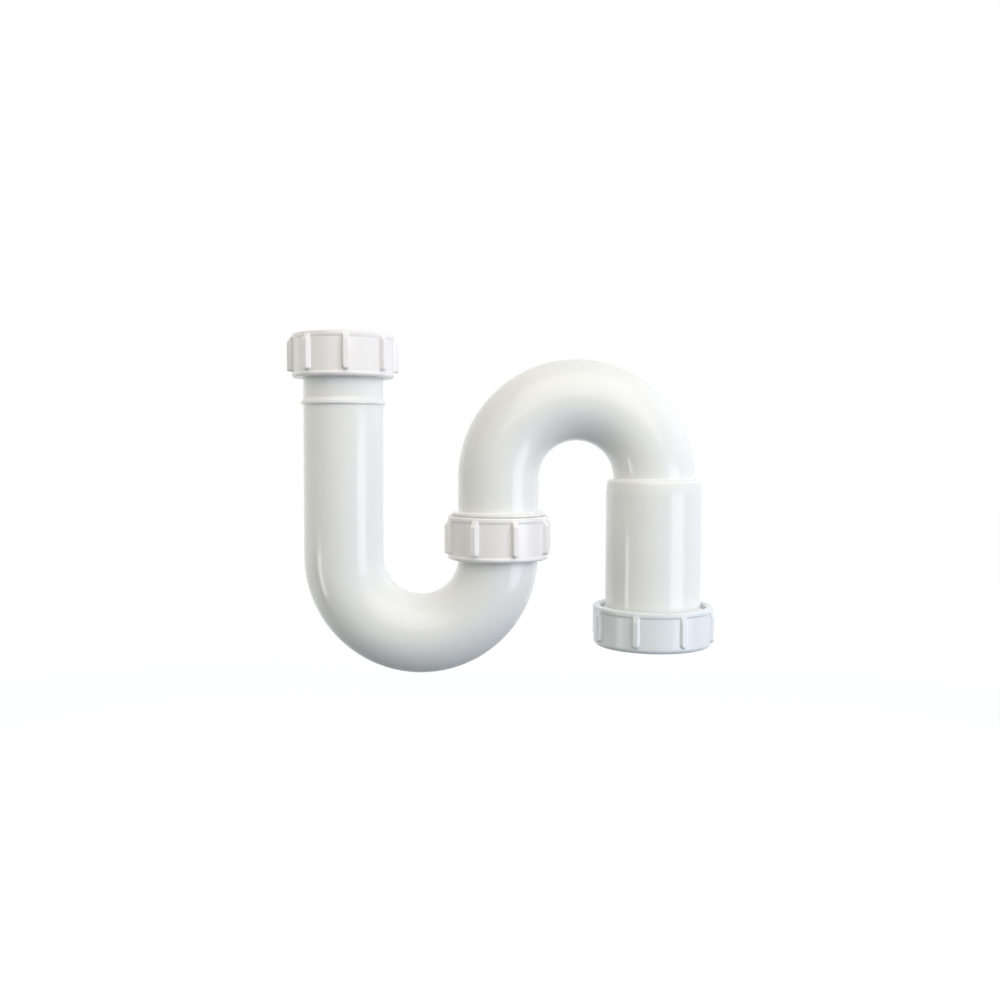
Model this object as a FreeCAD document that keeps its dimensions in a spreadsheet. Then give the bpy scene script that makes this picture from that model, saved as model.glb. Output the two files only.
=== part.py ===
import FreeCAD, Part
import math
import os
import Sketcher
from FreeCAD import Vector

# Tubular S trap for a basin, in millimetres. X runs from the inlet leg to the outlet, Z is up.
# The origin is on the inlet axis, at the face of the inlet washer that the basin waste presses on.

SIZES = {
    # tube and bends; the water seal sets how far the upper bend stands above the lower one
    "tube_diameter": 36.4,
    "tube_wall": 2.3,
    "bend_radius": 35.7,
    "water_seal": 76.0,
    # U bend: straight lengths above the bend centre, end flanges and the bead that stops the nut
    "inlet_leg": 87.5,
    "stub_length": 4.95,
    "flange_width": 1.9,
    "flange_thickness": 2.5,
    "bead_drop": 17.6,
    "bead_ramp": 1.8,
    "bead_crest": 1.0,
    "bead_under": 0.4,
    "bead_height": 1.15,
    # flat washers under both union nuts
    "washer_overhang": 0.4,
    "washer_setback": 0.4,
    "washer_thickness": 2.8,
    # union nuts at the inlet and the swivel; the thread clears the flange by thread_room
    "thread_room": 0.85,
    "union_nut_height": 20.0,
    "union_nut_shoulder": 3.0,
    "union_nut_wall": 1.7,
    "union_rib_height": 2.6,
    # what all nuts share: rim, rounded lower edge, and drafted ribs on recessed panels
    "rim_height": 1.9,
    "rim_step": 0.4,
    "rim_slope": 1.0,
    "rim_round": 1.0,
    "foot_round": 1.4,
    "foot_land": 0.1,
    "foot_step": 0.5,
    "foot_slope": 0.9,
    "lead_in": 0.8,
    "rib_count": 8,
    "rib_width": 3.6,
    "rib_draft": 16.0,
    "rib_end": 2.3,
    "rib_slope": 3.0,
    "inlet_nut_turned": 12.0,
    "swivel_nut_turned": 20.0,
    "outlet_nut_turned": 23.0,
    # swan neck: threaded spigot with its collar, and the outlet socket below the shoulder
    "neck_oversize": 0.5,
    "spigot_length": 11.6,
    "spigot_wall": 3.2,
    "spigot_hollow": 9.0,
    "collar_width": 0.6,
    "collar_height": 1.4,
    "shoulder_drop": 0.5,
    "shoulder_band": 6.2,
    "shoulder_taper": 0.6,
    "shoulder_round": 2.0,
    "ledge_left": 0.2,
    "socket_length": 69.5,
    "socket_wall": 3.2,
    "socket_floor": 3.3,
    # outlet: raised thread on the socket, tapered seal, slip ring and nut
    "outlet_thread_step": 2.2,
    "outlet_thread_length": 9.0,
    "seat_widening": 3.0,
    "seat_depth": 7.0,
    "seal_setback": 0.4,
    "seal_flange": 2.5,
    "seal_taper": 5.5,
    "slip_ring_thickness": 1.0,
    "outlet_nut_height": 18.4,
    "outlet_nut_shoulder": 3.0,
    "outlet_foot_round": 2.2,
    "outlet_nut_wall": 3.05,
    "outlet_rib_height": 1.4,
    # clearances, each measured on the radius or along the axis
    "thread_play": 0.15,
    "thread_relief": 0.4,
    "nut_play": 0.4,
    "nut_end_play": 0.2,
    "socket_play": 0.3,
    "seal_play": 0.1,
    "seat_play": 0.25,
}

doc = FreeCAD.newDocument("s_trap")
sheet = doc.addObject("Spreadsheet::Sheet", "Sizes")
for row, (alias, start) in enumerate(SIZES.items(), start=1):
    sheet.set(f"A{row}", alias)
    sheet.set(f"B{row}", str(start))
    sheet.setAlias(f"B{row}", alias)
doc.recompute()


def size(formula):
    """Turn a formula written with plain size names into an expression on the sheet."""
    words = formula.replace("(", " ( ").replace(")", " ) ").split()
    return " ".join(f"Sizes.{word}" if word in SIZES else word for word in words)


def value(formula):
    """Present value of such a formula, to start a sketch close to its solution."""
    return float(sheet.evalExpression(size(formula)))


def new_body(label, across, up, turned=None):
    """Empty body whose own origin stands at (across, up) on the XZ plane, turned about its axis."""
    body = doc.addObject("PartDesign::Body", label)
    body.Label = label
    body.setExpression("Placement.Base.x", size(across))
    body.setExpression("Placement.Base.z", size(up))
    if turned:
        body.Placement.Rotation = FreeCAD.Rotation(Vector(0, 0, 1), value(turned))
        body.setExpression("Placement.Rotation.Angle", size(turned))
    return body


def origin_part(body, role):
    """Plane or axis of the body's own origin."""
    return next(feature for feature in body.Origin.OriginFeatures if feature.Role == role)


def new_sketch(body, name, plane, lift="0"):
    """Empty sketch on an origin plane of the body, lifted off it along its normal."""
    sketch = body.newObject("Sketcher::SketchObject", name)
    sketch.AttachmentSupport = (origin_part(body, plane), [""])
    sketch.MapMode = "FlatFace"
    sketch.setExpression("AttachmentOffset.Base.z", size(lift))
    return sketch


def bind(sketch, kind, *target, formula):
    """Add a dimension to the sketch and tie it to the sheet."""
    index = sketch.addConstraint(Sketcher.Constraint(kind, *target, value(formula)))
    sketch.setExpression(f"Constraints[{index}]", size(formula))


def ring_sketch(body, name, outer, inner, centre="0"):
    """Two concentric circles in plan, their centre on the X axis."""
    sketch = new_sketch(body, name, "XY_Plane")
    for radius in (outer, inner):
        circle = Part.Circle(Vector(value(centre), 0, 0), Vector(0, 0, 1), value(radius))
        index = sketch.addGeometry(circle, False)
        sketch.addConstraint(Sketcher.Constraint("PointOnObject", index, 3, -1))
        bind(sketch, "DistanceX", -1, 1, index, 3, formula=centre)
        bind(sketch, "Radius", index, formula=radius)
    return sketch


def turn(body, name, corners, axis="0", kind="PartDesign::Revolution"):
    """Closed section with (radius, up) corners, turned full circle about the upright line at axis."""
    sketch = new_sketch(body, name + "Section", "XZ_Plane")
    points = [Vector(value(f"{axis} + {radius}"), value(up), 0) for radius, up in corners]
    for start, end in zip(points, points[1:] + points[:1]):
        sketch.addGeometry(Part.LineSegment(start, end), False)
    for index, (radius, up) in enumerate(corners):
        following = (index + 1) % len(corners)
        sketch.addConstraint(Sketcher.Constraint("Coincident", index, 2, following, 1))
        bind(sketch, "DistanceX", -1, 1, index, 1, formula=f"{axis} + {radius}")
        bind(sketch, "DistanceY", -1, 1, index, 1, formula=up)
    foot, head = Vector(value(axis), 0, 0), Vector(value(axis), 1, 0)
    line = sketch.addGeometry(Part.LineSegment(foot, head), True)
    sketch.addConstraint(Sketcher.Constraint("Vertical", line))
    sketch.addConstraint(Sketcher.Constraint("PointOnObject", line, 1, -1))
    bind(sketch, "DistanceX", -1, 1, line, 1, formula=axis)
    feature = body.newObject(kind, name)
    feature.Profile = sketch
    feature.ReferenceAxis = (sketch, ["Axis0"])
    feature.Angle = 360
    doc.recompute()
    return feature


def bend(body, outer, inner, upward):
    """Half turn of tube about the body's Y axis, from its inlet side to its outlet side."""
    sketch = ring_sketch(body, "BendSection", outer, inner, INLET)
    feature = body.newObject("PartDesign::Revolution", "Bend")
    feature.Profile = sketch
    feature.ReferenceAxis = (sketch, ["V_Axis"])
    feature.Angle = 180
    doc.recompute()
    feature.Reversed = (feature.Shape.BoundBox.Center.z > 0) != upward
    doc.recompute()


def round_edge(body, name, radius, ring, up, axis="0"):
    """Fillet the circular edge of radius ring at height up about the upright line at axis."""
    base = body.Tip
    wanted = Vector(value(axis), 0, value(up))
    found = [
        f"Edge{index}"
        for index, edge in enumerate(base.Shape.Edges, start=1)
        if isinstance(edge.Curve, Part.Circle)
        and edge.Curve.Center.distanceToPoint(wanted) < 1e-4
        and abs(edge.Curve.Radius - value(ring)) < 1e-4
    ]
    if not found:
        raise RuntimeError(f"{body.Label}: {name} finds no edge")
    feature = body.newObject("PartDesign::Fillet", name)
    feature.Base = (base, found)
    feature.setExpression("Radius", size(radius))
    doc.recompute()


# Radii that several pieces share
TUBE = "tube_diameter / 2"
BORE = "( tube_diameter / 2 - tube_wall )"
NECK = "( tube_diameter / 2 + neck_oversize / 2 )"
NECK_BORE = f"( {NECK} - tube_wall )"
FLANGE = f"( {TUBE} + flange_width )"
WASHER = f"( {FLANGE} + washer_overhang )"
UNION_THREAD = f"( {FLANGE} + thread_room )"
SOCKET_BORE = f"( {TUBE} + socket_play )"
SOCKET = f"( {SOCKET_BORE} + socket_wall )"
OUTLET_THREAD = f"( {SOCKET} + outlet_thread_step )"

# Where the axes and the bend centres stand
INLET = "-1 * bend_radius"
OUTLET = "bend_radius"
LOWER_BEND = "( -1 * washer_thickness - inlet_leg )"
BEND_RISE = f"( water_seal - 2 * bend_radius + {BORE} + {NECK_BORE} )"
UPPER_BEND = f"( {LOWER_BEND} + {BEND_RISE} )"
STUB_TOP = f"( {LOWER_BEND} + stub_length )"
MOUTH = "( 0 - shoulder_drop - socket_length )"
SOCKET_MOUTH = f"( {UPPER_BEND} + {MOUTH} )"

# U bend: lower bend, long inlet leg with the bead that stops the nut, and short stub, both flanged
u_bend = new_body("u_bend", "bend_radius", LOWER_BEND)
bend(u_bend, TUBE, BORE, upward=False)
BEAD = "( inlet_leg - bead_drop )"
turn(u_bend, "InletLeg", [
    (BORE, "0"),
    (TUBE, "0"),
    (TUBE, f"{BEAD} - bead_under"),
    (f"{TUBE} + bead_height", BEAD),
    (f"{TUBE} + bead_height", f"{BEAD} + bead_crest"),
    (TUBE, f"{BEAD} + bead_crest + bead_ramp"),
    (TUBE, "inlet_leg - flange_thickness"),
    (FLANGE, "inlet_leg - flange_thickness"),
    (FLANGE, "inlet_leg"),
    (BORE, "inlet_leg"),
], INLET)
turn(u_bend, "Stub", [
    (BORE, "0"),
    (TUBE, "0"),
    (TUBE, "stub_length - flange_thickness"),
    (FLANGE, "stub_length - flange_thickness"),
    (FLANGE, "stub_length"),
    (BORE, "stub_length"),
], OUTLET)

# Swan neck: upper bend, leg with collar and male spigot, and the outlet socket
swan_neck = new_body("swan_neck", "3 * bend_radius", UPPER_BEND)
SPIGOT_END = f"( stub_length + washer_thickness - {BEND_RISE} )"
SPIGOT = f"( {UNION_THREAD} - thread_play )"
HOLLOW = f"( {SPIGOT} - spigot_wall )"
COLLAR = f"( {UNION_THREAD} + collar_width )"
COLLAR_TOP = f"( {SPIGOT_END} + spigot_length + collar_height )"
OUTLET_MALE = f"( {OUTLET_THREAD} - thread_play )"
SHOULDER = f"( {SOCKET} - shoulder_taper )"
bend(swan_neck, NECK, NECK_BORE, upward=True)
turn(swan_neck, "Spigot", [
    (HOLLOW, SPIGOT_END),
    (SPIGOT, SPIGOT_END),
    (SPIGOT, f"{SPIGOT_END} + spigot_length"),
    (COLLAR, f"{SPIGOT_END} + spigot_length"),
    (COLLAR, COLLAR_TOP),
    (NECK, COLLAR_TOP),
    (NECK, "0"),
    (NECK_BORE, "0"),
    (NECK_BORE, COLLAR_TOP),
    (HOLLOW, f"{SPIGOT_END} + spigot_hollow"),
], INLET)
turn(swan_neck, "Socket", [
    (f"{SOCKET_BORE} + seat_widening", MOUTH),
    (OUTLET_MALE, MOUTH),
    (OUTLET_MALE, f"{MOUTH} + outlet_thread_length"),
    (SOCKET, f"{MOUTH} + outlet_thread_length + {OUTLET_MALE} - {SOCKET}"),
    (SOCKET, "0 - shoulder_drop - shoulder_band"),
    (SHOULDER, "0 - shoulder_drop"),
    (NECK, "0 - shoulder_drop"),
    (NECK, "0"),
    (NECK_BORE, "0"),
    (NECK_BORE, "0 - shoulder_drop - socket_floor"),
    (SOCKET_BORE, "0 - shoulder_drop - socket_floor"),
    (SOCKET_BORE, f"{MOUTH} + seat_depth"),
], OUTLET)
# the rounding always leaves some of the ledge flat
LEDGE = f"( {SHOULDER} - {NECK} - ledge_left )"
SHOULDER_ROUND = f"shoulder_round < {LEDGE} ? shoulder_round : {LEDGE}"
round_edge(swan_neck, "ShoulderRound", SHOULDER_ROUND, SHOULDER, "0 - shoulder_drop", OUTLET)


def flat_ring(label, across, up, outer, inner, thickness):
    """Plain flat ring standing on its own origin."""
    body = new_body(label, across, up)
    feature = body.newObject("PartDesign::Pad", "Ring")
    feature.Profile = ring_sketch(body, "RingSection", outer, inner)
    feature.setExpression("Length", size(thickness))
    doc.recompute()


def rib_sketch(body, root, top):
    """Rib seen along its radius: upright sides, level top, half-round lower end; it lies at radius root."""
    sketch = new_sketch(body, "RibOutline", "YZ_Plane", root)
    half, low, high = value("rib_width / 2"), value("rib_end + rib_width / 2"), value(top)
    corners = [Vector(half, low, 0), Vector(half, high, 0), Vector(-half, high, 0), Vector(-half, low, 0)]
    for start, end in zip(corners, corners[1:]):
        sketch.addGeometry(Part.LineSegment(start, end), False)
    lower_end = Part.Circle(Vector(0, low, 0), Vector(0, 0, 1), half)
    sketch.addGeometry(Part.ArcOfCircle(lower_end, math.pi, 2 * math.pi), False)
    sketch.addConstraint(Sketcher.Constraint("Coincident", 0, 2, 1, 1))
    sketch.addConstraint(Sketcher.Constraint("Coincident", 1, 2, 2, 1))
    sketch.addConstraint(Sketcher.Constraint("Tangent", 2, 2, 3, 1))
    sketch.addConstraint(Sketcher.Constraint("Tangent", 3, 2, 0, 1))
    sketch.addConstraint(Sketcher.Constraint("Vertical", 0))
    sketch.addConstraint(Sketcher.Constraint("Horizontal", 1))
    sketch.addConstraint(Sketcher.Constraint("PointOnObject", 3, 3, -2))
    bind(sketch, "Radius", 3, formula="rib_width / 2")
    bind(sketch, "DistanceY", -1, 1, 3, 3, formula="rib_end + rib_width / 2")
    bind(sketch, "DistanceY", -1, 1, 0, 2, formula=top)
    return sketch


def ribbed_nut(label, across, up, turned, thread, wall, height, shoulder, pocket_top, rib_height, foot_round,
               foot_step=None):
    """Cup with a holed floor, a relieved pocket for the seal parts, a thread wall, a rim and drafted ribs."""
    body = new_body(label, across, up, turned)
    female = f"( {thread} + thread_play )"
    panel = f"( {female} + {wall} )"
    root = f"( {panel} - {wall} / 2 )"
    hole = f"( {TUBE} + nut_play )"
    turn(body, "Cup", [
        (hole, "0"),
        (panel, "0"),
        (panel, height),
        (f"{female} + lead_in", height),
        (female, f"{height} - lead_in"),
        (female, pocket_top),
        (f"{female} + thread_relief", pocket_top),
        (f"{female} + thread_relief", shoulder),
        (hole, shoulder),
    ])
    turn(body, "Rim", [
        (root, f"{height} - rim_height - rim_slope"),
        (panel, f"{height} - rim_height - rim_slope"),
        (f"{panel} + rim_step", f"{height} - rim_height"),
        (f"{panel} + rim_step", height),
        (root, height),
    ])
    foot = panel
    if foot_step:
        foot = f"( {panel} + {foot_step} )"
        turn(body, "Foot", [
            (root, "0"),
            (foot, "0"),
            (foot, f"{foot_round} + foot_land"),
            (panel, f"{foot_round} + foot_land + foot_slope"),
            (root, f"{foot_round} + foot_land + foot_slope"),
        ])
    round_edge(body, "RimRound", "rim_round", f"{panel} + rim_step", height)
    round_edge(body, "FootRound", foot_round, foot, "0")
    rib = body.newObject("PartDesign::Pad", "Rib")
    rib.Profile = rib_sketch(body, root, f"{height} - rim_round")
    rib.setExpression("Length", size(f"{panel} + {rib_height} + 1 - {root}"))
    rib.setExpression("TaperAngle", size("0 - rib_draft"))
    doc.recompute()
    ribs = body.newObject("PartDesign::PolarPattern", "Ribs")
    ribs.Originals = [rib]
    ribs.Axis = (origin_part(body, "Z_Axis"), [""])
    ribs.Angle = 360
    ribs.setExpression("Occurrences", size("rib_count"))
    body.Tip = ribs
    doc.recompute()
    # the ribs are turned to their outer face, which slopes in to the rim at the top
    turn(body, "RibTurning", [
        (f"{panel} + {rib_height}", "0"),
        (f"{panel} + {rib_height} + 2", "0"),
        (f"{panel} + {rib_height} + 2", height),
        (f"{panel} + rim_step", height),
        (f"{panel} + rim_step", f"{height} - rim_round"),
        (f"{panel} + {rib_height}", f"{height} - rim_round - rib_slope"),
    ], kind="PartDesign::Groove")


POCKET_TOP = "( union_nut_shoulder + nut_end_play + flange_thickness + washer_thickness )"


def union_nut(label, across, washer_top, turned):
    """The one union nut design, hung under a flange whose washer ends at washer_top."""
    ribbed_nut(label, across, f"{washer_top} - {POCKET_TOP}", turned, UNION_THREAD, "union_nut_wall",
               "union_nut_height", "union_nut_shoulder", POCKET_TOP, "union_rib_height",
               "foot_round", "foot_step")


# Inlet joint: flat washer on the flange, nut captive under it
WASHER_BORE = f"( {BORE} + washer_setback )"
flat_ring("inlet_washer", "0", "-1 * washer_thickness", WASHER, WASHER_BORE, "washer_thickness")
union_nut("inlet_nut", "0", "0", "inlet_nut_turned")

# Swivel joint: the same washer and nut on the stub, where the swan neck turns
SWIVEL_AXIS = "2 * bend_radius"
flat_ring("swivel_washer", SWIVEL_AXIS, STUB_TOP, WASHER, WASHER_BORE, "washer_thickness")
union_nut("swivel_nut", SWIVEL_AXIS, f"{STUB_TOP} + washer_thickness", "swivel_nut_turned")

# Outlet joint: tapered seal in the socket's mouth, slip ring under it, larger nut round both
OUTLET_AXIS = "4 * bend_radius"
SEAL = f"( {OUTLET_THREAD} - seal_setback )"
SEAL_BORE = f"( {TUBE} + seal_play )"
SEAT = f"( {SOCKET_BORE} + seat_widening )"
outlet_seal = new_body("outlet_seal", OUTLET_AXIS, f"{SOCKET_MOUTH} - seal_flange")
turn(outlet_seal, "Seal", [
    (SEAL_BORE, "0"),
    (SEAL, "0"),
    (SEAL, "seal_flange"),
    (f"{SEAT} - seat_play", "seal_flange"),
    (f"{SEAT} - seat_play - seat_widening * seal_taper / seat_depth", "seal_flange + seal_taper"),
    (SEAL_BORE, "seal_flange + seal_taper"),
])
flat_ring("outlet_slip_ring", OUTLET_AXIS, f"{SOCKET_MOUTH} - seal_flange - slip_ring_thickness", SEAL,
          SOCKET_BORE, "slip_ring_thickness")
SEAL_TOP = "( outlet_nut_shoulder + nut_end_play + slip_ring_thickness + seal_flange )"
ribbed_nut("outlet_nut", OUTLET_AXIS, f"{SOCKET_MOUTH} - {SEAL_TOP}", "outlet_nut_turned", OUTLET_THREAD,
           "outlet_nut_wall", "outlet_nut_height", "outlet_nut_shoulder", SEAL_TOP, "outlet_rib_height",
           "outlet_foot_round")

doc.recompute()
for item in doc.Objects:
    if "Invalid" in item.State or "Error" in item.State:
        raise RuntimeError(f"{item.Label}: {item.State}")
os.makedirs("parts", exist_ok=True)
for body in (item for item in doc.Objects if item.TypeId == "PartDesign::Body"):
    if body.Shape.isNull() or not body.Shape.isValid() or len(body.Shape.Solids) != 1:
        raise RuntimeError(f"{body.Label}: not one sound solid")
    body.Shape.exportStep(f"parts/{body.Label}.step")
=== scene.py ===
import math

import bpy
import numpy as np
from mathutils import Matrix


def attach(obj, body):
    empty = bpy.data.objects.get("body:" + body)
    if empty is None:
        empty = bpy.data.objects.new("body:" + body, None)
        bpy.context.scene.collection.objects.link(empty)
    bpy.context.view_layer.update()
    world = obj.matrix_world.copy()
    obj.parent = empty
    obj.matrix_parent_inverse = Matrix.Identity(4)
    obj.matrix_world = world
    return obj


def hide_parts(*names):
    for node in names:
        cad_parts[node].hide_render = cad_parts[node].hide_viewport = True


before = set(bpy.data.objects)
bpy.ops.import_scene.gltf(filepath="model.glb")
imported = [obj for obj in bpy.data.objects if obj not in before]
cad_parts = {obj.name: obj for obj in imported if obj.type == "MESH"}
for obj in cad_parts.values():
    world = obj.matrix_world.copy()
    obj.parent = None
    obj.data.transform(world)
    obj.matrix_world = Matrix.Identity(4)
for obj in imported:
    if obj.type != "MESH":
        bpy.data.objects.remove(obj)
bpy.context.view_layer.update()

# U bend: the lower half of the trap, whose water closes the pipe. One injection moulding in white
# polypropylene with a flange at the end of each leg to carry a washer. A barbed bead under the inlet
# flange keeps the nut from sliding down the leg. The sizes of all pieces are in millimetres.
tube_radius, tube_wall = 18.2, 2.3
bend_radius = 35.7
inlet_leg, stub_length = 87.5, 4.95
lower_bend_centre = -90.3
flange_radius, flange_thickness = 20.1, 2.5
bead_drop, bead_crest, bead_ramp, bead_under, bead_height = 17.6, 1.0, 1.8, 0.4, 1.15
parting_height, parting_width = 0.09, 0.22
tube_columns, column_crowding = 160, 0.44
wall_tolerance = 0.01
bore_radius = tube_radius - tube_wall
inlet_flange_top = lower_bend_centre + inlet_leg
stub_flange_top = lower_bend_centre + stub_length


def contour(corners, longest):
    """Closed outline through (a, b, rounding) corners. Each corner becomes an arc of nine points that starts
    and ends rounding / tan(half the corner's angle) away from it, about a centre rounding / sin(half the
    angle) along its bisector. Each straight side is divided evenly so that no step is longer than longest, or
    than a fourth number that the corner before it may have."""
    points = np.array([corner[:2] for corner in corners], float)
    radii = np.array([corner[2] for corner in corners], float)
    back = np.roll(points, 1, axis=0) - points
    ahead = np.roll(points, -1, axis=0) - points
    back /= np.linalg.norm(back, axis=1, keepdims=True)
    ahead /= np.linalg.norm(ahead, axis=1, keepdims=True)
    half_angle = np.arccos(np.clip((back * ahead).sum(axis=1), -1, 1)) / 2
    reach = (radii / np.tan(half_angle))[:, None]
    middle = (back + ahead) / np.linalg.norm(back + ahead, axis=1, keepdims=True)
    centres = points + middle * (radii / np.sin(half_angle))[:, None]
    starts, ends = points + back * reach, points + ahead * reach
    sweep = (math.pi - 2 * half_angle)[:, None, None]
    along = np.linspace(0, 1, 9)[None, :, None]
    arcs = centres[:, None] + (
        np.sin((1 - along) * sweep) * (starts - centres)[:, None]
        + np.sin(along * sweep) * (ends - centres)[:, None]
    ) / np.sin(sweep)
    runs = []
    for corner, arc, end, start in zip(corners, arcs, ends, np.roll(starts, -1, axis=0)):
        longest_here = corner[3] if len(corner) > 3 else longest
        steps = max(1, math.ceil(np.linalg.norm(start - end) / longest_here))
        runs += [arc, end + (start - end) * np.arange(1, steps)[:, None] / steps]
    outline = np.concatenate(runs)
    # a point that falls on the one before it is dropped
    return outline[np.linalg.norm(outline - np.roll(outline, 1, axis=0), axis=1) > 1e-6]


def bent_tube(reach, radius, around, leg, centre, side):
    """Points of a tube whose path is a straight leg, a half circle and another straight run.
    At a distance reach along the path the axis has turned by a = (reach - leg) / bend radius, kept between
    0 and pi. The axis stands at the bend centre less one bend radius along n = (cos a, side sin a), moved on
    along the tangent by what the straight runs leave over. The point lies radius * (n cos around +
    y sin around) away from the axis. Side is 1 for a bend that hangs down and -1 for one that arches up."""
    turned = np.clip((reach - leg) / bend_radius, 0, math.pi)
    inward = np.stack((np.cos(turned), 0 * turned, side * np.sin(turned)), axis=-1)
    onward = np.stack((np.sin(turned), 0 * turned, -side * np.cos(turned)), axis=-1)
    straight = (reach - leg - bend_radius * turned)[..., None]
    axis = np.array(centre) - bend_radius * inward + straight * onward
    across = np.array((0.0, 1.0, 0.0))
    spread = np.cos(around)[..., None] * inward[:, None] + np.sin(around)[..., None] * across
    return axis[:, None] + radius[..., None] * spread


def closed_shell(name, grid):
    """Smooth object from a grid of points in millimetres that closes on itself both ways: point (i, j) joins
    (i + 1, j) and (i, j + 1), counted round. The sign of the enclosed volume turns the faces outwards."""
    rows, columns = grid.shape[:2]
    first = np.arange(rows * columns).reshape(rows, columns)
    beside = np.roll(first, -1, axis=1)
    quads = np.stack((first, beside, np.roll(beside, -1, axis=0), np.roll(first, -1, axis=0)), axis=-1)
    quads = quads.reshape(-1, 4)
    points = grid.reshape(-1, 3) / 1000
    a, b, c, d = (points[quads[:, corner]] for corner in range(4))
    if (a * (np.cross(b, c) + np.cross(c, d))).sum() < 0:
        quads = quads[:, ::-1]
    mesh = bpy.data.meshes.new(name)
    mesh.from_pydata(points.tolist(), [], quads.tolist())
    mesh.shade_smooth()
    piece = bpy.data.objects.new(name, mesh)
    bpy.context.scene.collection.objects.link(piece)
    return piece


def linear(colour):
    """Linear RGBA of an sRGB hex colour: a level up to 0.04045 is divided by 12.92, and a higher one becomes
    (level + 0.055) / 1.055 to the power 2.4."""
    levels = np.array([int(colour[place:place + 2], 16) for place in (1, 3, 5)]) / 255
    levels = np.where(levels <= 0.04045, levels / 12.92, ((levels + 0.055) / 1.055) ** 2.4)
    return (*levels.tolist(), 1.0)


def bare_tree(owner):
    """Node tree of a material or of the world, emptied."""
    owner.use_nodes = True
    owner.node_tree.nodes.clear()
    return owner.node_tree


def add_node(tree, kind, sockets, **settings):
    """Add a node with its settings. Each socket named takes a value, or a link if it is given an output."""
    node = tree.nodes.new(kind)
    for name, setting in settings.items():
        setattr(node, name, setting)
    for name, source in sockets.items():
        if isinstance(source, bpy.types.NodeSocket):
            tree.links.new(source, node.inputs[name])
        else:
            node.inputs[name].default_value = source
    return node


def moulded_plastic(name, light, dark, cloud, peel, peel_depth, roughness):
    """Moulded thermoplastic: colour that clouds between two near tones over cloud millimetres, a skin with
    shallow ripples peel millimetres apart, and a roughness that drifts with them either way."""
    drift = 0.04
    material = bpy.data.materials.new(name)
    tree = bare_tree(material)
    place = add_node(tree, "ShaderNodeTexCoord", {}).outputs["Object"]
    clouds = add_node(tree, "ShaderNodeTexNoise", {"Vector": place, "Scale": 1000 / cloud, "Detail": 3.0})
    tone = add_node(tree, "ShaderNodeMix", {
        "Factor": clouds.outputs["Fac"], "A": linear(dark), "B": linear(light)}, data_type="RGBA")
    ripple = add_node(tree, "ShaderNodeTexNoise", {"Vector": place, "Scale": 1000 / peel, "Detail": 2.0})
    gloss = add_node(tree, "ShaderNodeMapRange", {
        "Value": ripple.outputs["Fac"], "To Min": roughness - drift, "To Max": roughness + drift})
    skin = add_node(tree, "ShaderNodeBump", {
        "Height": ripple.outputs["Fac"], "Distance": peel_depth / 1000, "Strength": 1.0})
    shader = add_node(tree, "ShaderNodeBsdfPrincipled", {
        "Base Color": tone.outputs["Result"], "IOR": 1.49, "Roughness": gloss.outputs["Result"],
        "Normal": skin.outputs["Normal"]})
    add_node(tree, "ShaderNodeOutputMaterial", {"Surface": shader.outputs["BSDF"]})
    return material


# Glossy white polypropylene as it leaves a polished mould: almost neutral, with a faint orange peel.
white_polypropylene = moulded_plastic("white_polypropylene", "#EDEDEC", "#E9E9E8", cloud=14, peel=3,
                                      peel_depth=0.002, roughness=0.12)

path_length = inlet_leg + math.pi * bend_radius + stub_length
bead_top = bead_drop - bead_crest
u_bend_outline = contour([
    (0, bore_radius, 0.4),
    (0, flange_radius, 0.4),
    (flange_thickness, flange_radius, 0.4),
    (flange_thickness, tube_radius, 0.5),
    (bead_top - bead_ramp, tube_radius, 1.5),
    (bead_top, tube_radius + bead_height, 0.8),
    (bead_drop, tube_radius + bead_height, 0.2),
    (bead_drop + bead_under, tube_radius, 0.15),
    (path_length - flange_thickness, tube_radius, 0.5),
    (path_length - flange_thickness, flange_radius, 0.4),
    (path_length, flange_radius, 0.4),
    (path_length, bore_radius, 0.4),
], longest=1.3)
# the columns crowd together at the mould's parting line, a low bell-shaped ridge in the plane of the bend
even = np.linspace(0, 2 * math.pi, tube_columns, endpoint=False)
tube_angles = even - column_crowding * np.sin(2 * even)
parting = parting_height * np.exp(-((tube_radius * np.sin(tube_angles) / parting_width) ** 2))
outside = u_bend_outline[:, 1:] >= tube_radius - wall_tolerance
u_bend = closed_shell("u_bend_moulding", bent_tube(
    u_bend_outline[:, 0],
    u_bend_outline[:, 1:] + outside * parting,
    tube_angles, inlet_leg, (bend_radius, 0, lower_bend_centre), side=1))
u_bend.data.materials.append(white_polypropylene)
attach(u_bend, "u_bend")
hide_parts("u_bend")

# Union nuts: the same ribbed hand nut at the inlet and at the swivel, a polypropylene moulding unscrewed
# off its core. The floor hooks under the flange, the thread pulls the joint onto the washer, and eight
# ribs give the hand a grip.
# the thread has eleven turns to the inch, and its flats are a share of the triangle's height
thread_pitch, thread_depth, thread_flat = 25.4 / 11, 1.0, 0.1875
hole_clearance, end_play = 0.4, 0.2
# female, panel and rib are radii, and floor and pocket are heights above the nut's bottom
union_nut = {"female": 21.1, "panel": 22.8, "height": 20.0, "floor": 3.0, "pocket": 8.5, "rib": 25.4,
             "foot_round": 1.4, "foot_step": 0.5}
rim_height, rim_step, rim_slope, rim_round = 1.9, 0.4, 1.0, 1.0
foot_land, foot_slope = 0.1, 0.9
lead_in, pocket_relief = 0.8, 0.4
plain_above_pocket, plain_below_top, nut_thread_fade = 0.3, 1.2, 1.0
rib_count, rib_half_width, rib_flank = 8, 1.75, 0.75
rib_end, rib_slope = 2.4, 3.0
rib_columns, rib_column_reach, panel_columns = 25, 1.25, 9
nut_hole = tube_radius + hole_clearance


def smooth(value):
    """Soft step from 0 to 1: 3 t^2 - 2 t^3 with t kept between 0 and 1."""
    t = np.clip(value, 0, 1)
    return t * t * (3 - 2 * t)


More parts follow.
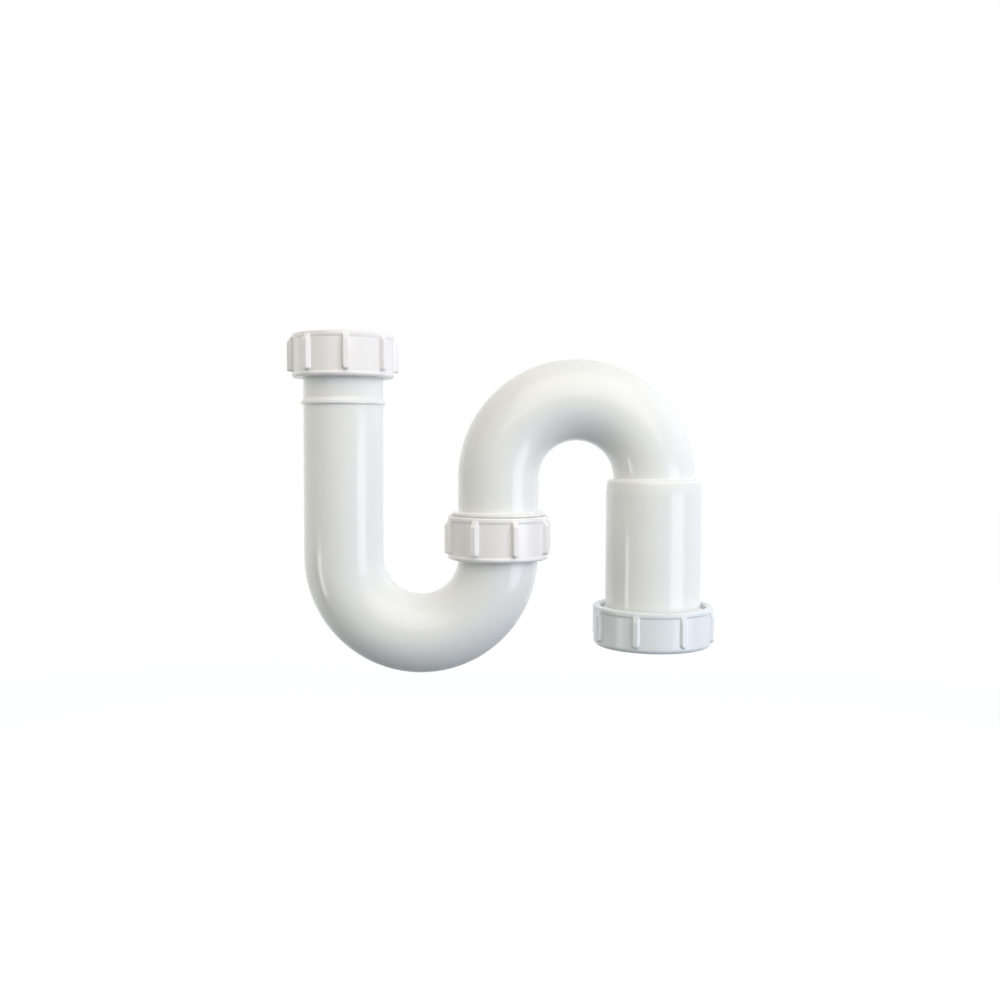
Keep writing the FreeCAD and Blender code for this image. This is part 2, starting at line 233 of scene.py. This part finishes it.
def thread_wave(along, angle):
    """Thread form from 0 at the root to 1 at the crest, as a right-hand helix. The phase is
    along / pitch - angle / 2 pi, and a triangle wave of it is cut flat at root and crest and smoothed."""
    phase = (along / thread_pitch - angle / (2 * math.pi)) % 1
    triangle = 1 - np.abs(2 * phase - 1)
    return smooth((triangle - thread_flat) / (1 - 2 * thread_flat))


def thread_share(along, start, end, fade):
    """Share of the thread's full depth: 0 before start and after end, with a soft step over fade at both."""
    return smooth((along - start) / fade) * smooth((end - along) / fade)


def turned_shell(name, radius, up, axis, angle):
    """Closed shell turned about the upright line at x = axis: the outline's point (radius, up) goes to
    (axis + radius cos angle, radius sin angle, up). The radius may differ from angle to angle."""
    return closed_shell(name, np.stack(np.broadcast_arrays(
        axis + radius * np.cos(angle), radius * np.sin(angle), up), axis=-1))


def ribbed_nut(name, nut, axis, bottom, turned, crest=0.0):
    """Nut turned from an outline of (radius, height above its bottom). Inside, the thread wall comes in by
    crest * thread wave. Outside, the wall goes out towards the rib's own outline, which is level and then
    slopes in to the rim, by a share that falls from 1 to 0 over the flank. The share depends on the distance
    to the rib's middle line, so its lower end is round."""
    top, panel, female, pocket = nut["height"], nut["panel"], nut["female"], nut["pocket"]
    rim = panel + rim_step
    foot = panel + nut["foot_step"]
    foot_top = nut["foot_round"] + foot_land
    step = [(foot, foot_top, 0.1), (panel, foot_top + foot_slope, 0.6)] if nut["foot_step"] else []
    outline = contour([
        (nut_hole, 0, 0.5),
        (foot, 0, nut["foot_round"]),
        *step,
        (panel, top - rim_height - rim_slope, 0.8),
        (rim, top - rim_height, 0.8),
        (rim, top, rim_round),
        (female + lead_in, top, 0.3),
        (female, top - lead_in, 0.2),
        (female, pocket, 0.1),
        (female + pocket_relief, pocket, 0.1),
        (female + pocket_relief, nut["floor"], 0.4),
        (nut_hole, nut["floor"], 0.4),
    ], longest=0.3)
    radius, up = outline[:, :1], outline[:, 1:]
    # columns crowd together across each rib and spread out over the panel between
    sector = 2 * math.pi / rib_count
    near = np.linspace(-rib_column_reach, rib_column_reach, rib_columns) * rib_half_width / panel
    far = np.linspace(near[-1], sector + near[0], panel_columns + 2)[1:-1]
    local = np.concatenate((near, far))
    angle = (np.arange(rib_count)[:, None] * sector + local).ravel() + math.radians(turned)
    offset = np.tile(np.concatenate((near, np.minimum(far, sector - far))), rib_count) * panel
    from_middle = np.hypot(offset, np.maximum(0, rib_end + rib_half_width - up))
    share = smooth((rib_half_width - from_middle) / rib_flank)
    rib_outline = np.minimum(nut["rib"], rim + (nut["rib"] - rim) * (top - rim_round - up) / rib_slope)
    outer = radius > panel - wall_tolerance
    inner = np.abs(radius - female) < wall_tolerance
    threaded = inner * thread_share(up, pocket + plain_above_pocket, top - plain_below_top, nut_thread_fade)
    ribbed = radius + outer * share * np.maximum(0, rib_outline - radius)
    ribbed = ribbed - crest * threaded * thread_wave(up, angle)
    return turned_shell(name, ribbed, bottom + up, axis, angle)


# The nuts' polypropylene is a touch warmer than the tubes' and comes from a less polished mould.
nut_polypropylene = moulded_plastic("nut_polypropylene", "#F1EEEE", "#ECE9E9", cloud=11, peel=1.6,
                                    peel_depth=0.004, roughness=0.24)

# only the inlet nut shows its thread: the other nuts' walls are plain, because a male thread fills them
floor_drop = flange_thickness + end_play + union_nut["floor"]
inlet_nut = ribbed_nut("inlet_nut_moulding", union_nut, 0, inlet_flange_top - floor_drop, turned=12,
                       crest=thread_depth)
swivel_nut = ribbed_nut("swivel_nut_moulding", union_nut, 2 * bend_radius, stub_flange_top - floor_drop,
                        turned=20)
for nut, body in ((inlet_nut, "inlet_nut"), (swivel_nut, "swivel_nut")):
    nut.data.materials.append(nut_polypropylene)
    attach(nut, body)
    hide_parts(body)

# Flat washers: one on each flange of the U bend, punched from black rubber sheet. The nut squeezes
# them against the basin waste above and against the swan neck's spigot.
washer_bore, washer_radius, washer_thickness, washer_round = 16.3, 20.5, 2.8, 0.35
ring_columns = 128
ring_angles = np.linspace(0, 2 * math.pi, ring_columns, endpoint=False)

# Black rubber with the dull grey bloom that comes to its surface in patches, and a fine matt grain.
bloom_patch, rubber_grain, grain_depth = 5, 0.5, 0.04
black_rubber = bpy.data.materials.new("black_rubber")
tree = bare_tree(black_rubber)
place = add_node(tree, "ShaderNodeTexCoord", {}).outputs["Object"]
patches = add_node(tree, "ShaderNodeTexNoise", {"Vector": place, "Scale": 1000 / bloom_patch, "Detail": 4.0})
tone = add_node(tree, "ShaderNodeMix", {
    "Factor": patches.outputs["Fac"], "A": linear("#1B1B1B"), "B": linear("#2B2B2A")}, data_type="RGBA")
grit = add_node(tree, "ShaderNodeTexNoise", {"Vector": place, "Scale": 1000 / rubber_grain, "Detail": 2.0})
skin = add_node(tree, "ShaderNodeBump", {
    "Height": grit.outputs["Fac"], "Distance": grain_depth / 1000, "Strength": 1.0})
shader = add_node(tree, "ShaderNodeBsdfPrincipled", {
    "Base Color": tone.outputs["Result"], "IOR": 1.52, "Roughness": 0.72, "Normal": skin.outputs["Normal"]})
add_node(tree, "ShaderNodeOutputMaterial", {"Surface": shader.outputs["BSDF"]})

for name, axis, low in (("inlet_washer", 0, inlet_flange_top),
                        ("swivel_washer", 2 * bend_radius, stub_flange_top)):
    high = low + washer_thickness
    washer_outline = contour([
        (washer_bore, low, washer_round),
        (washer_radius, low, washer_round),
        (washer_radius, high, washer_round),
        (washer_bore, high, washer_round),
    ], longest=0.5)
    washer = turned_shell(name + "_rubber", washer_outline[:, :1], washer_outline[:, 1:], axis, ring_angles)
    washer.data.materials.append(black_rubber)
    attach(washer, "u_bend")
    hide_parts(name)

# Swan neck: the upper half of the trap, moulded like the U bend. Its spigot screws into the swivel nut, a
# collar stops the nut's rim, and the arch ends in a wider socket whose raised thread takes the outlet nut.
neck_radius = 18.45
water_seal = 76.0
spigot_radius, spigot_length, spigot_bore, spigot_hollow = 20.8, 11.6, 17.6, 9.0
collar_radius, collar_height = 21.55, 1.4
shoulder_drop, shoulder_round, shoulder_band, shoulder_taper = 0.5, 2.0, 6.2, 0.6
socket_radius, socket_bore, socket_floor, socket_length = 21.7, 18.5, 3.3, 69.5
outlet_male, outlet_thread_length = 23.75, 9.0
seat_radius, seat_depth = 21.5, 7.0
plain_at_end, plain_below_collar, plain_below_bevel, male_thread_fade = 0.5, 0.8, 0.3, 1.2
parting_stop = 2.0

neck_bore = neck_radius - tube_wall
upper_bend_centre = lower_bend_centre + water_seal - 2 * bend_radius + bore_radius + neck_bore
neck_leg = upper_bend_centre - stub_flange_top - washer_thickness
shoulder = neck_leg + math.pi * bend_radius + shoulder_drop
neck_end = shoulder + socket_length
mouth = upper_bend_centre - shoulder_drop - socket_length
thread_top = neck_end - outlet_thread_length
collar_top = spigot_length + collar_height
thread_step = thread_pitch / 10
neck_outline = contour([
    (0, spigot_bore, 0.4),
    (0, spigot_radius, 0.5, thread_step),
    (spigot_length, spigot_radius, 0.2),
    (spigot_length, collar_radius, 0.3),
    (collar_top, collar_radius, 0.4),
    (collar_top, neck_radius, 0.6),
    (shoulder, neck_radius, 0.5),
    (shoulder, socket_radius - shoulder_taper, shoulder_round),
    (shoulder + shoulder_band, socket_radius, 1.0),
    (thread_top - outlet_male + socket_radius, socket_radius, 0.6),
    (thread_top, outlet_male, 0.4, thread_step),
    (neck_end, outlet_male, 0.5),
    (neck_end, seat_radius, 0.3),
    (neck_end - seat_depth, socket_bore, 0.5),
    (shoulder + socket_floor, socket_bore, 0.3),
    (shoulder + socket_floor, neck_bore, 0.3),
    (collar_top, neck_bore, 2.0),
    (spigot_hollow, spigot_bore, 2.0),
], longest=1.3)
reach, radius = neck_outline[:, :1], neck_outline[:, 1:]
spigot_thread = (radius > spigot_radius - wall_tolerance) * thread_share(
    reach, plain_at_end, spigot_length - plain_below_collar, male_thread_fade)
outlet_thread = (radius > outlet_male - wall_tolerance) * thread_share(
    reach, thread_top + plain_below_bevel, neck_end - plain_at_end, male_thread_fade)
# the path runs down the socket, so there the helix is read backwards to stay right-handed
grooves = spigot_thread * (1 - thread_wave(reach, tube_angles))
grooves = grooves + outlet_thread * (1 - thread_wave(-reach, math.pi - tube_angles))
plain = (radius > neck_radius - wall_tolerance) & (reach > collar_top) & (reach < thread_top - parting_stop)
swan_neck = closed_shell("swan_neck_moulding", bent_tube(
    neck_outline[:, 0],
    radius + plain * parting - thread_depth * grooves,
    tube_angles, neck_leg, (3 * bend_radius, 0, upper_bend_centre), side=-1))
swan_neck.data.materials.append(white_polypropylene)
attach(swan_neck, "swan_neck")
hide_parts("swan_neck")

# Outlet seal: a tapered ring of the same black rubber, pushed into the widened mouth of the socket, where it
# grips the waste pipe.
seal_bore, seal_radius, seal_flange, seal_taper, seal_plug = 18.3, 23.5, 2.5, 5.5, 21.25
seal_low, seal_high = mouth - seal_flange, mouth + seal_taper
seal_tip = seal_plug - (seat_radius - socket_bore) * seal_taper / seat_depth
seal_outline = contour([
    (seal_bore, seal_low, 0.3),
    (seal_radius, seal_low, 0.35),
    (seal_radius, mouth, 0.35),
    (seal_plug, mouth, 0.2),
    (seal_tip, seal_high, 0.15),
    (seal_bore, seal_high, 0.15),
], longest=0.5)
outlet_seal = turned_shell("outlet_seal_rubber", seal_outline[:, :1], seal_outline[:, 1:], 4 * bend_radius,
                           ring_angles)
outlet_seal.data.materials.append(black_rubber)
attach(outlet_seal, "swan_neck")
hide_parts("outlet_seal")

# Slip ring: a thin ring of natural polyethylene between the seal and the outlet nut, so that the turning nut
# doesn't drag the rubber round. It lies loose in the nut, a hair below the seal.
slip_ring_thickness, slip_ring_gap, slip_ring_round = 0.98, 0.02, 0.2
slip_ring_top = seal_low - slip_ring_gap
slip_ring_low = slip_ring_top - slip_ring_thickness
slip_ring_outline = contour([
    (socket_bore, slip_ring_low, slip_ring_round),
    (seal_radius, slip_ring_low, slip_ring_round),
    (seal_radius, slip_ring_top, slip_ring_round),
    (socket_bore, slip_ring_top, slip_ring_round),
], longest=0.5)
slip_ring = turned_shell("slip_ring_moulding", slip_ring_outline[:, :1], slip_ring_outline[:, 1:],
                         4 * bend_radius, ring_angles)
# Natural polyethylene without pigment: milky, faintly yellow, with a waxy satin skin.
natural_polyethylene = moulded_plastic("natural_polyethylene", "#E4E2D6", "#DAD8CB", cloud=8, peel=1.2,
                                       peel_depth=0.006, roughness=0.46)
slip_ring.data.materials.append(natural_polyethylene)
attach(slip_ring, "outlet_slip_ring")
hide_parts("outlet_slip_ring")

# Outlet nut: the larger ribbed hand nut that squeezes the seal onto the waste pipe. It is moulded like the
# union nuts, with lower ribs and no step above its rounded lower edge.
large_nut = {"female": 24.05, "panel": 27.1, "height": 18.4, "floor": 3.0, "pocket": 6.7, "rib": 28.5,
             "foot_round": 2.2, "foot_step": 0.0}
outlet_nut = ribbed_nut("outlet_nut_moulding", large_nut, 4 * bend_radius,
                        slip_ring_low - end_play - large_nut["floor"], turned=23)
# Its white comes from another batch, cooler than the union nuts'.
cool_polypropylene = moulded_plastic("cool_polypropylene", "#E6EAED", "#E1E5E8", cloud=11, peel=1.6,
                                     peel_depth=0.004, roughness=0.24)
outlet_nut.data.materials.append(cool_polypropylene)
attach(outlet_nut, "outlet_nut")
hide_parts("outlet_nut")

# Floor: a pale studio floor well below the trap, which hangs from the basin. To the camera it glows just
# enough to reach white where light falls on it. The gloss sees its glow dimmed below the trap, as painted
# shade in the trap's reflections, and white further off. The sizes and places of the studio, from here on,
# are in metres.
floor_level, floor_reach = -0.42, 6.0
trap_middle = np.array((0.07, 0.0, -0.07))


def flat_sheet(name, corners):
    """One flat face through four corners."""
    mesh = bpy.data.meshes.new(name)
    mesh.from_pydata(corners, [], [(0, 1, 2, 3)])
    sheet = bpy.data.objects.new(name, mesh)
    bpy.context.scene.collection.objects.link(sheet)
    return sheet


floor = flat_sheet("studio_floor", [
    (x * floor_reach, y * floor_reach, floor_level) for x, y in ((-1, -1), (1, -1), (1, 1), (-1, 1))])
# Matt pale grey paint, whose own light falls short of white by what the lamps put on it.
floor_paint = bpy.data.materials.new("pale_floor_paint")
tree = bare_tree(floor_paint)
place = add_node(tree, "ShaderNodeTexCoord", {}).outputs["Object"]
distance = add_node(tree, "ShaderNodeVectorMath", {
    0: place, 1: (trap_middle[0], trap_middle[1], floor_level)}, operation="DISTANCE")
glow = add_node(tree, "ShaderNodeMapRange", {
    "Value": distance.outputs["Value"], "From Min": 0.2, "From Max": 1.65, "To Min": 0.76, "To Max": 0.985})
# the glow's share in the gloss is low below the trap: painted shade in the trap's reflections of the floor
share = add_node(tree, "ShaderNodeMapRange", {
    "Value": distance.outputs["Value"], "From Min": 0.3, "From Max": 0.9, "To Min": 0.2, "To Max": 1.0})
rays = add_node(tree, "ShaderNodeLightPath", {})
direct = add_node(tree, "ShaderNodeMath", {
    0: rays.outputs["Is Camera Ray"], 1: rays.outputs["Is Transmission Ray"]}, operation="MAXIMUM")
gloss_with_painted_shade = add_node(tree, "ShaderNodeMath", {
    0: rays.outputs["Is Glossy Ray"], 1: share.outputs["Result"]}, operation="MULTIPLY")
seen = add_node(tree, "ShaderNodeMath", {
    0: direct.outputs["Value"], 1: gloss_with_painted_shade.outputs["Value"]}, operation="MAXIMUM")
shown = add_node(tree, "ShaderNodeMath", {
    0: seen.outputs["Value"], 1: glow.outputs["Result"]}, operation="MULTIPLY")
paint = add_node(tree, "ShaderNodeBsdfDiffuse", {"Color": linear("#8F9498")})
white = add_node(tree, "ShaderNodeEmission", {"Color": linear("#FFFFFF"), "Strength": shown.outputs["Value"]})
both = add_node(tree, "ShaderNodeAddShader", {0: paint.outputs["BSDF"], 1: white.outputs["Emission"]})
add_node(tree, "ShaderNodeOutputMaterial", {"Surface": both.outputs["Shader"]})
floor.data.materials.append(floor_paint)

# Studio light: a white sweep behind the object that the camera and reflections see at full white, a large
# soft box above the camera, and fills round the trap that light it but don't show in its gloss. The long
# highlights on the tubes are two narrow boxes, right and left, that only the gloss shows.
sweep_light, sweep_white = 0.05, 1.0
world = bpy.data.worlds.new("white_sweep")
bpy.context.scene.world = world
tree = bare_tree(world)
rays = add_node(tree, "ShaderNodeLightPath", {})
direct = add_node(tree, "ShaderNodeMath", {
    0: rays.outputs["Is Camera Ray"], 1: rays.outputs["Is Transmission Ray"]}, operation="MAXIMUM")
seen = add_node(tree, "ShaderNodeMath", {
    0: direct.outputs["Value"], 1: rays.outputs["Is Glossy Ray"]}, operation="MAXIMUM")
strength = add_node(tree, "ShaderNodeMapRange", {
    "Value": seen.outputs["Value"], "To Min": sweep_light, "To Max": sweep_white})
sweep = add_node(tree, "ShaderNodeBackground", {
    "Color": linear("#FFFFFF"), "Strength": strength.outputs["Result"]})
add_node(tree, "ShaderNodeOutputWorld", {"Surface": sweep.outputs["Background"]})


def standing(sideways, upwards, backwards, place):
    """World matrix with these directions as the columns for x, y and z, and this place as the last."""
    matrix = np.eye(4)
    matrix[:3] = np.stack((sideways, upwards, backwards, place), axis=1)
    return Matrix(matrix)


# name, direction and distance from the trap's middle, width, height, radiance, colour, whether the lamp
# lights the trap and whether the gloss shows it
for name, towards, away, width, height, radiance, colour, lights, shows in (
    ("top_front_soft_box", (0.12, -0.72, 0.7), 0.6, 0.8, 0.73, 1.54, "#FFF8E8", True, True),
    ("right_strip_box", (0.828, -0.538, -0.159), 0.455, 0.24, 0.255, 2.8, "#EEF0FF", False, True),
    ("left_strip_box", (-0.889, -0.373, -0.264), 0.488, 0.09, 0.15, 3.7, "#FFFFFF", False, True),
    ("right_front_fill", (0.7, -0.7, 0.2), 1.0, 0.8, 1.0, 2.51, "#E8F1FF", True, False),
    ("right_fill", (1.0, -0.2, 0.3), 1.0, 0.9, 0.9, 0.44, "#FFFFFF", True, False),
    ("left_fill", (-1.0, -0.3, 0.3), 1.0, 0.9, 0.9, 1.04, "#FDFFF1", True, False),
    ("back_top_fill", (0.0, 0.5, 0.85), 1.0, 1.2, 0.8, 1.04, "#E6F2FF", True, False),
    ("back_fill", (0.0, 1.0, 0.25), 1.0, 0.9, 0.7, 0.5, "#FFFFFF", True, False),
    ("right_back_fill", (0.9, 0.5, 0.15), 1.0, 0.8, 0.8, 1.8, "#FFFFFF", True, False),
    ("left_back_fill", (-0.9, 0.5, 0.15), 1.0, 0.8, 0.8, 2.5, "#FFFFFF", True, False),
):
    lamp = bpy.data.lights.new(name, "AREA")
    lamp.shape = "RECTANGLE"
    lamp.size, lamp.size_y = width, height
    lamp.energy = radiance * math.pi * width * height
    lamp.color = linear(colour)[:3]
    box = bpy.data.objects.new(name, lamp)
    box.visible_diffuse = lights
    box.visible_glossy = shows
    bpy.context.scene.collection.objects.link(box)
    direction = np.array(towards) / np.linalg.norm(towards)
    sideways = np.cross((0, 0, 1), direction)
    sideways /= np.linalg.norm(sideways)
    box.matrix_world = standing(sideways, np.cross(direction, sideways), direction,
                                trap_middle + away * direction)

# Dark card: a sheet of black card standing on the left, beside the narrow box there. Only the gloss shows it,
# as the dark line between the U bend's left highlight and its edge.
card_x, card_front, card_back, card_low, card_high = -0.36, -0.11, -0.02, -0.36, -0.12
card = flat_sheet("dark_card", [(card_x, card_front, card_low), (card_x, card_back, card_low),
                                (card_x, card_back, card_high), (card_x, card_front, card_high)])
card.visible_camera = card.visible_diffuse = card.visible_shadow = False
# Black card with a matt paper surface.
black_card = bpy.data.materials.new("black_card")
tree = bare_tree(black_card)
paper = add_node(tree, "ShaderNodeBsdfDiffuse", {"Color": linear("#101010")})
add_node(tree, "ShaderNodeOutputMaterial", {"Surface": paper.outputs["BSDF"]})
card.data.materials.append(black_card)

# Camera: level with the middle of the trap and almost square to it, as the product photograph was taken. The
# angles are in radians, and the focal length is 1.0669 times the width of the sensor.
camera_place, pitch, yaw, roll = np.array((0.08262, -0.49095, -0.03861)), 0.0518, 0.0212, 0.0036
sensor_width, focal_share, nearest = 36.0, 1.0669, 0.01
level = np.array((-math.sin(yaw), math.cos(yaw), 0))
right = np.array((math.cos(yaw), math.sin(yaw), 0))
upright = np.array((0, 0, 1))
forward = level * math.cos(pitch) - upright * math.sin(pitch)
up = level * math.sin(pitch) + upright * math.cos(pitch)
lens = bpy.data.cameras.new("product_camera")
lens.sensor_width, lens.lens = sensor_width, sensor_width * focal_share
lens.clip_start = nearest
camera = bpy.data.objects.new("product_camera", lens)
bpy.context.scene.collection.objects.link(camera)
camera.matrix_world = standing(right * math.cos(roll) + up * math.sin(roll),
                               up * math.cos(roll) - right * math.sin(roll), -forward, camera_place)
bpy.context.scene.camera = camera
bpy.context.scene.view_settings.view_transform = "Standard"
